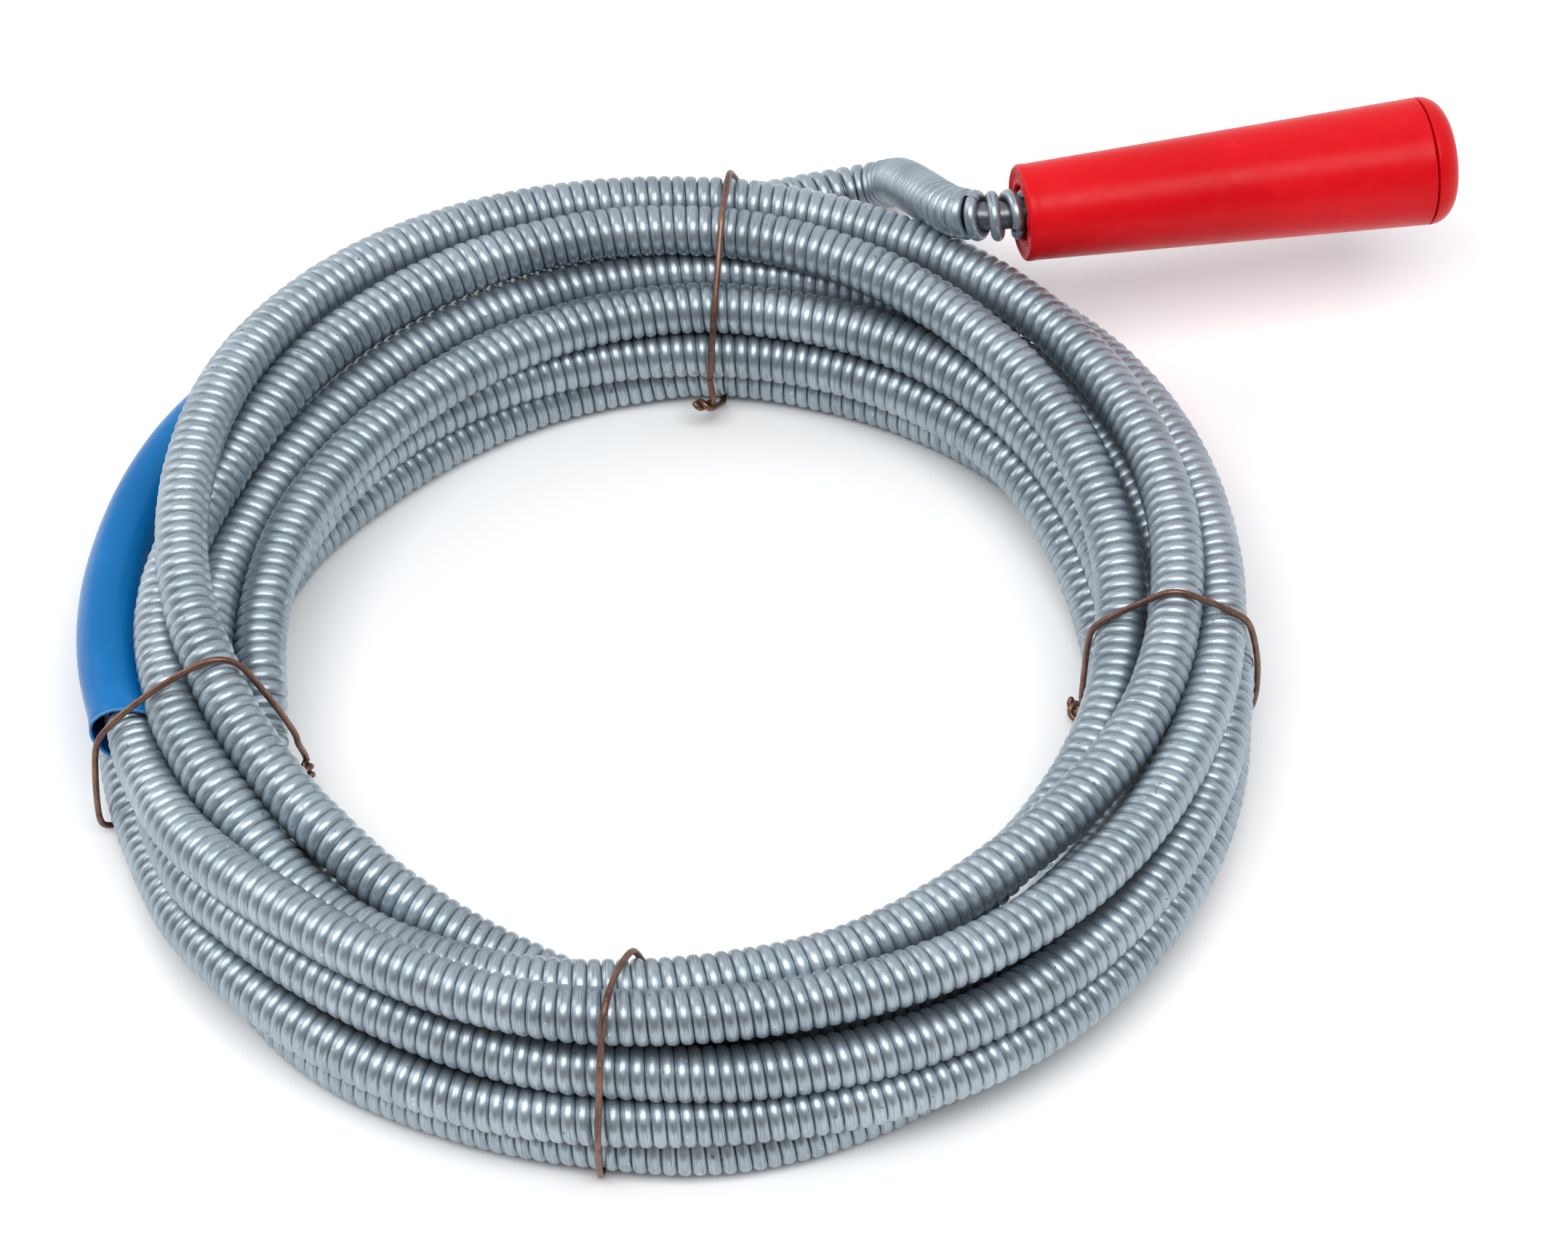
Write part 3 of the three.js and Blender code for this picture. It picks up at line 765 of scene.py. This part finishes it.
# ---------------------------------------------------------------- wire ties

TWIST_LENGTH = 3.5
TWIST_TURNS = 1.0
TWIST_R = 0.6
TWIST_DIRECTION = 212
TWIST_GAP = 16
# How far each tie stands off the bundle at its inner, outer and upper side, and how far its
# inner and outer sides are skewed along the coil, in millimetres
TIE_SHAPES = {
    "back": {"inner": 0.5, "outer": 0.4, "top": 0.9, "skew_in": 0.6, "skew_out": 0.0},
    "right": {"inner": 0.4, "outer": 0.4, "top": 0.3, "skew_in": 0.0, "skew_out": 0.0},
    "front": {"inner": 1.2, "outer": 0.4, "top": 0.9, "skew_in": 5.5, "skew_out": 0.0},
    "left": {"inner": 0.6, "outer": 1.2, "top": 0.8, "skew_in": 1.5, "skew_out": 3.5},
}
SLEEVE_CLEARANCE = 0.3
SLEEVE_INSET = 2.4
TIE_ADVANCE = 1.6
TIE_SMOOTHINGS = 8
SKEW_FADE = 6.0
TIE_SLACK = 0.15
LEG_STEPS = 8


def strands_at(angle):
    """Radius and height of every turn where it passes an angle round the coil."""
    places = []
    phi = angle if angle > coil_phi[0] else angle + 360
    while phi <= coil_phi[-1]:
        radius, height = (np.interp(phi, coil_phi, row) for row in (coil_radius, coil_height))
        places.append((radius, height))
        phi += 360
    return np.array(places)


def tie_points(name, angle):
    """One wire round the whole bundle, from the tip of its twisted end and back to it.
    Points are (radius, along, height) at the tie's angle."""
    centres = strands_at(angle)
    reach = np.full(len(centres), SPIRAL_D / 2 + TIE_R)
    if name == "left":
        sleeve_end = sleeve_point(SLEEVE_MOUTH_ANGLE)
        sleeve_radius = math.hypot(*sleeve_end[:2]) - SLEEVE_INSET
        centres = np.vstack([centres, [sleeve_radius, sleeve_end[2]]])
        reach = np.append(reach, SLEEVE_HALF_HEIGHT + TIE_R + SLEEVE_CLEARANCE)
    shape = TIE_SHAPES[name]
    loop = []
    for turn in np.arange(TWIST_DIRECTION + TWIST_GAP, TWIST_DIRECTION + 361 - TWIST_GAP, 6):
        direction = np.array([math.cos(math.radians(turn)), math.sin(math.radians(turn))])
        slack = TIE_SLACK + shape["top"] * max(0, direction[1]) ** 4
        slack += shape["inner"] * max(0, -direction[0]) ** 1.5
        slack += shape["outer"] * max(0, direction[0]) ** 1.5
        nearest = np.argmax(centres @ direction + reach)
        place = centres[nearest] + (reach[nearest] + slack) * direction
        advance = TIE_ADVANCE * ((turn - TWIST_DIRECTION) / 360 - 0.5)
        loop.append([place[0], advance, place[1]])
    loop = np.array(loop)
    for _ in range(TIE_SMOOTHINGS):
        loop[1:-1] += 0.5 * ((loop[:-2] + loop[2:]) / 2 - loop[1:-1])
        for centre, least in zip(centres, reach):
            away = loop[:, [0, 2]] - centre
            gap = np.linalg.norm(away, axis=1, keepdims=True)
            loop[:, [0, 2]] += away / gap * np.maximum(0, least - gap)
    from_inside = loop[:, 0] - loop[:, 0].min()
    loop[:, 1] += shape["skew_in"] * np.exp(-from_inside / SKEW_FADE)
    loop[:, 1] += shape["skew_out"] * np.exp((from_inside - from_inside.max()) / SKEW_FADE)
    loop[:, 2] = np.maximum(loop[:, 2], TIE_R + 0.05)
    loop = loop.tolist()
    edge = min(loop[0][0], loop[-1][0])
    twist_height = max((loop[0][2] + loop[-1][2]) / 2, TWIST_R + TIE_R)
    legs = []
    for phase in (math.pi / 2, -math.pi / 2):
        leg = []
        for i in range(int(TWIST_TURNS * LEG_STEPS) + 1):
            share = i / (TWIST_TURNS * LEG_STEPS)
            turn = 2 * math.pi * TWIST_TURNS * share + phase
            across = edge - (TWIST_R + 0.5 + TWIST_R * math.cos(turn))
            along = loop[0][1] + 1.2 + TWIST_LENGTH * share
            leg.append([across, along, twist_height + TWIST_R * math.sin(turn)])
        legs.append(leg)
    first, second = (1, 0) if loop[0][2] < twist_height else (0, 1)
    return legs[first][::-1] + loop + legs[second]


tie_names = {
    "back": "wire_tie_back",
    "right": "wire_tie_right",
    "front": "wire_tie_front",
    "left": "wire_tie_left",
}
ties = []
for side, angle in TIE_ANGLES.items():
    radians = math.radians(angle)
    out = np.array([math.cos(radians), math.sin(radians), 0])
    ahead = np.array([-math.sin(radians), math.cos(radians), 0])
    points = [
        r * out + along * ahead + np.array([0, 0, z]) for r, along, z in tie_points(side, angle)
    ]
    tie = tube("tie_" + side, points, TIE_R, 12, 0.6)
    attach(tie, "spiral")
    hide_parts(tie_names[side])
    ties.append(tie)

# ---------------------------------------------------------------- materials


class Nodes:
    """A node material with a principled shader, and short calls for its nodes."""

    def __init__(self, name, **sockets):
        self.material = bpy.data.materials.new(name)
        self.material.use_nodes = True
        self.tree = self.material.node_tree
        self.shader = self.tree.nodes["Principled BSDF"]
        for socket, value in sockets.items():
            self.shader.inputs[socket.replace("_", " ")].default_value = value
        self.place = self.add("ShaderNodeTexCoord").outputs["Object"]

    def add(self, kind, **settings):
        node = self.tree.nodes.new(kind)
        for key, value in settings.items():
            setattr(node, key, value)
        return node

    def feed(self, socket, source):
        if isinstance(source, bpy.types.NodeSocket):
            self.tree.links.new(source, socket)
        else:
            socket.default_value = source

    def noise(self, scale, detail=3.0, roughness=0.55, vector=None):
        node = self.add("ShaderNodeTexNoise")
        node.inputs["Scale"].default_value = scale
        node.inputs["Detail"].default_value = detail
        node.inputs["Roughness"].default_value = roughness
        self.feed(node.inputs["Vector"], self.place if vector is None else vector)
        return node.outputs["Fac"]

    def attribute(self, name):
        return self.add("ShaderNodeAttribute", attribute_name=name).outputs["Fac"]

    def combine(self, x, y, z):
        node = self.add("ShaderNodeCombineXYZ")
        for socket, source in zip(node.inputs, (x, y, z)):
            self.feed(socket, source)
        return node.outputs["Vector"]

    def math(self, operation, a, b=0.0):
        node = self.add("ShaderNodeMath", operation=operation)
        self.feed(node.inputs[0], a)
        self.feed(node.inputs[1], b)
        return node.outputs[0]

    def remap(self, value, low, high, to_low, to_high):
        node = self.add("ShaderNodeMapRange")
        for socket, source in zip(node.inputs, (value, low, high, to_low, to_high)):
            self.feed(socket, source)
        return node.outputs["Result"]

    def ramp(self, value, *stops):
        node = self.add("ShaderNodeValToRGB")
        ramp = node.color_ramp
        while len(ramp.elements) < len(stops):
            ramp.elements.new(0.5)
        for element, (position, colour) in zip(ramp.elements, stops):
            element.position = position
            element.color = (*colour, 1)
        self.feed(node.inputs["Fac"], value)
        return node.outputs["Color"]

    def mix(self, factor, a, b):
        node = self.add("ShaderNodeMix", data_type="RGBA")
        self.feed(node.inputs["Factor"], factor)
        for socket, source in ((node.inputs[6], a), (node.inputs[7], b)):
            self.feed(socket, (*source, 1) if isinstance(source, tuple) else source)
        return node.outputs[2]

    def bump(self, height, distance, strength=1.0, normal=None):
        node = self.add("ShaderNodeBump")
        node.inputs["Strength"].default_value = strength
        node.inputs["Distance"].default_value = distance
        self.feed(node.inputs["Height"], height)
        if normal is not None:
            self.feed(node.inputs["Normal"], normal)
        return node.outputs["Normal"]

    def finish(self, colour=None, roughness=None, normal=None):
        for name, source in (("Base Color", colour), ("Roughness", roughness), ("Normal", normal)):
            if source is not None:
                self.feed(self.shader.inputs[name], source)
        return self.material


def wire_streaks(m, across, along):
    """Fine drawing lines that run along the wire."""
    vector = m.combine(
        m.math("MULTIPLY", m.attribute("wire_along"), along),
        m.math("MULTIPLY", m.attribute("wire_round"), across),
        0.0,
    )
    return m.noise(3.0, 4.0, 0.65, vector)


def galvanised_steel():
    m = Nodes("galvanised_steel", Metallic=0.82)
    streaks = wire_streaks(m, 2.6, 0.05)
    cloud = m.noise(55, 3.0)
    grain = m.noise(1500, 2.0, 0.7)
    colour = m.ramp(
        cloud, (0.3, (0.19, 0.24, 0.28)), (0.52, (0.28, 0.34, 0.385)), (0.75, (0.385, 0.45, 0.5))
    )
    colour = m.mix(m.remap(streaks, 0.36, 0.66, 0.0, 0.5), colour, (0.66, 0.72, 0.76))
    colour = m.mix(m.remap(streaks, 0.46, 0.32, 0.0, 0.6), colour, (0.12, 0.15, 0.18))
    # Painted shade: the grooves between turns are darkened to near black
    painted_groove_shade = m.math("ABSOLUTE", m.attribute("wire_round"))
    colour = m.mix(m.remap(painted_groove_shade, 1.35, 1.8, 0.0, 0.9), colour, (0.035, 0.04, 0.048))
    spangle = m.noise(900, 1.0, 0.5)
    colour = m.mix(m.remap(spangle, 0.72, 0.78, 0.0, 0.4), colour, (0.9, 0.93, 0.95))
    colour = m.mix(m.remap(spangle, 0.27, 0.21, 0.0, 0.6), colour, (0.06, 0.065, 0.07))
    roughness = m.remap(streaks, 0.3, 0.7, 0.44, 0.28)
    normal = m.bump(streaks, 0.00006, 0.6)
    normal = m.bump(grain, 0.00002, 0.4, normal)
    return m.finish(colour, roughness, normal)


def dark_steel(name, light, dark, scale):
    m = Nodes(name, Metallic=0.9)
    cloud = m.noise(scale, 4.0, 0.6)
    fine = m.noise(scale * 9, 2.0)
    colour = m.ramp(cloud, (0.32, dark), (0.68, light))
    return m.finish(colour, m.remap(fine, 0.3, 0.7, 0.28, 0.5), m.bump(fine, 0.00002, 0.5))


def annealed_wire():
    m = Nodes("annealed_wire", Metallic=0.85)
    streaks = wire_streaks(m, 1.2, 0.25)
    cloud = m.noise(160, 3.0)
    colour = m.ramp(
        cloud, (0.3, (0.105, 0.05, 0.035)), (0.55, (0.2, 0.105, 0.075)), (0.8, (0.31, 0.175, 0.125))
    )
    colour = m.mix(m.remap(streaks, 0.5, 0.72, 0.0, 0.5), colour, (0.45, 0.3, 0.24))
    return m.finish(colour, m.remap(streaks, 0.3, 0.7, 0.3, 0.48), m.bump(streaks, 0.00004, 0.5))


def red_plastic():
    m = Nodes("red_plastic", Specular_IOR_Level=0.14)
    cloud = m.noise(38, 3.0)
    mottle = m.noise(260, 3.0, 0.6)
    fine = m.noise(1900, 2.0)
    colour = m.ramp(
        cloud,
        (0.3, (0.58, 0.003, 0.007)),
        (0.55, (0.65, 0.004, 0.009)),
        (0.8, (0.71, 0.006, 0.012)),
    )
    colour = m.mix(m.remap(mottle, 0.6, 0.8, 0.0, 0.22), colour, (0.85, 0.04, 0.04))
    colour = m.mix(m.remap(mottle, 0.4, 0.25, 0.0, 0.25), colour, (0.54, 0.002, 0.006))
    roughness = m.remap(mottle, 0.3, 0.7, 0.28, 0.4)
    normal = m.bump(mottle, 0.00003, 0.35)
    normal = m.bump(fine, 0.00001, 0.3, normal)
    return m.finish(colour, roughness, normal)


def blue_plastic():
    m = Nodes("blue_plastic", Specular_IOR_Level=0.16)
    cloud = m.noise(30, 2.0)
    lines = m.noise(140, 3.0, 0.6)
    colour = m.ramp(cloud, (0.3, (0.001, 0.12, 0.35)), (0.7, (0.002, 0.155, 0.43)))
    colour = m.mix(m.remap(lines, 0.55, 0.8, 0.0, 0.2), colour, (0.02, 0.27, 0.62))
    # Painted highlight: the cut rims are a lighter blue
    colour = m.mix(m.attribute("rim_highlight"), colour, (0.09, 0.36, 0.72))
    # Painted shade: the inside of the pipe is darkened to navy
    inner = m.math("MULTIPLY", m.attribute("inside"), 0.75)
    colour = m.mix(inner, colour, (0.004, 0.02, 0.13))
    return m.finish(colour, m.remap(lines, 0.3, 0.7, 0.2, 0.32), m.bump(lines, 0.00004, 0.4))


def pale_floor():
    m = Nodes("pale_floor", Specular_IOR_Level=0.1, Roughness=0.9)
    cloud = m.noise(2.0, 2.0)
    return m.finish(m.ramp(cloud, (0.3, (0.93, 0.93, 0.93)), (0.7, (0.95, 0.95, 0.95))))


def paint(obj, material):
    obj.data.materials.clear()
    obj.data.materials.append(material)


zinc = galvanised_steel()
tie_finish = annealed_wire()
red = red_plastic()
for piece in (spring, end_turns, head):
    paint(piece, zinc)
for piece in (grip, cap):
    paint(piece, red)
for piece in ties:
    paint(piece, tie_finish)
paint(sleeve, blue_plastic())
paint(rod, dark_steel("rod_steel", (0.24, 0.25, 0.26), (0.09, 0.09, 0.1), 120))
washer_finish = dark_steel("washer_steel", (0.42, 0.43, 0.44), (0.26, 0.27, 0.28), 90)
for node in ("thrust_washer", "retaining_washer"):
    paint(frame["nodes"][node], washer_finish)

# ---------------------------------------------------------------- floor and light

FLOOR_HALF = 3000
floor_corners = [
    [x * FLOOR_HALF, y * FLOOR_HALF, 0] for x, y in ((-1, -1), (1, -1), (1, 1), (-1, 1))
]
floor = new_object("floor", floor_corners, [[0, 1, 2, 3]], smooth=False)
paint(floor, pale_floor())


def softbox(name, place, width, height, power):
    """A soft rectangular lamp aimed at the coil."""
    data = bpy.data.lights.new(name, "AREA")
    data.shape = "RECTANGLE"
    data.size = width
    data.size_y = height
    data.energy = power
    light = bpy.data.objects.new(name, data)
    light.location = place
    towards_coil = Vector((0, 0, 0)) - Vector(place)
    light.rotation_euler = towards_coil.to_track_quat("-Z", "Y").to_euler()
    bpy.context.scene.collection.objects.link(light)


softbox("top_softbox", (0.0, -0.48, 1.25), 1.4, 0.6, 16.0)
softbox("left_softbox", (-1.3, 0.5, 0.8), 0.5, 0.9, 4.0)

# The studio is bright all round and above, and dim only towards the front, high up
TOWARDS_FRONT = (0.0, -0.8, 0.6)
BRIGHT_UNTIL, DIM_FROM = 0.25, 0.85
BRIGHT_STRENGTH, DIM_STRENGTH = 0.9, 0.18

world = bpy.data.worlds.new("studio")
world.use_nodes = True
tree = world.node_tree
background = tree.nodes["Background"]
background.inputs["Color"].default_value = (0.95, 0.97, 1.0, 1)
direction = tree.nodes.new("ShaderNodeTexCoord").outputs["Generated"]
facing = tree.nodes.new("ShaderNodeVectorMath")
facing.operation = "DOT_PRODUCT"
facing.inputs[1].default_value = TOWARDS_FRONT
tree.links.new(direction, facing.inputs[0])
dim = tree.nodes.new("ShaderNodeMapRange")
dim.interpolation_type = "SMOOTHSTEP"
dim_range = (BRIGHT_UNTIL, DIM_FROM, BRIGHT_STRENGTH, DIM_STRENGTH)
for socket, value in zip(dim.inputs[1:5], dim_range):
    socket.default_value = value
tree.links.new(facing.outputs["Value"], dim.inputs["Value"])
tree.links.new(dim.outputs["Result"], background.inputs["Strength"])
bpy.context.scene.world = world
bpy.context.scene.view_settings.view_transform = "Standard"

# ---------------------------------------------------------------- scene update

bpy.context.view_layer.update()
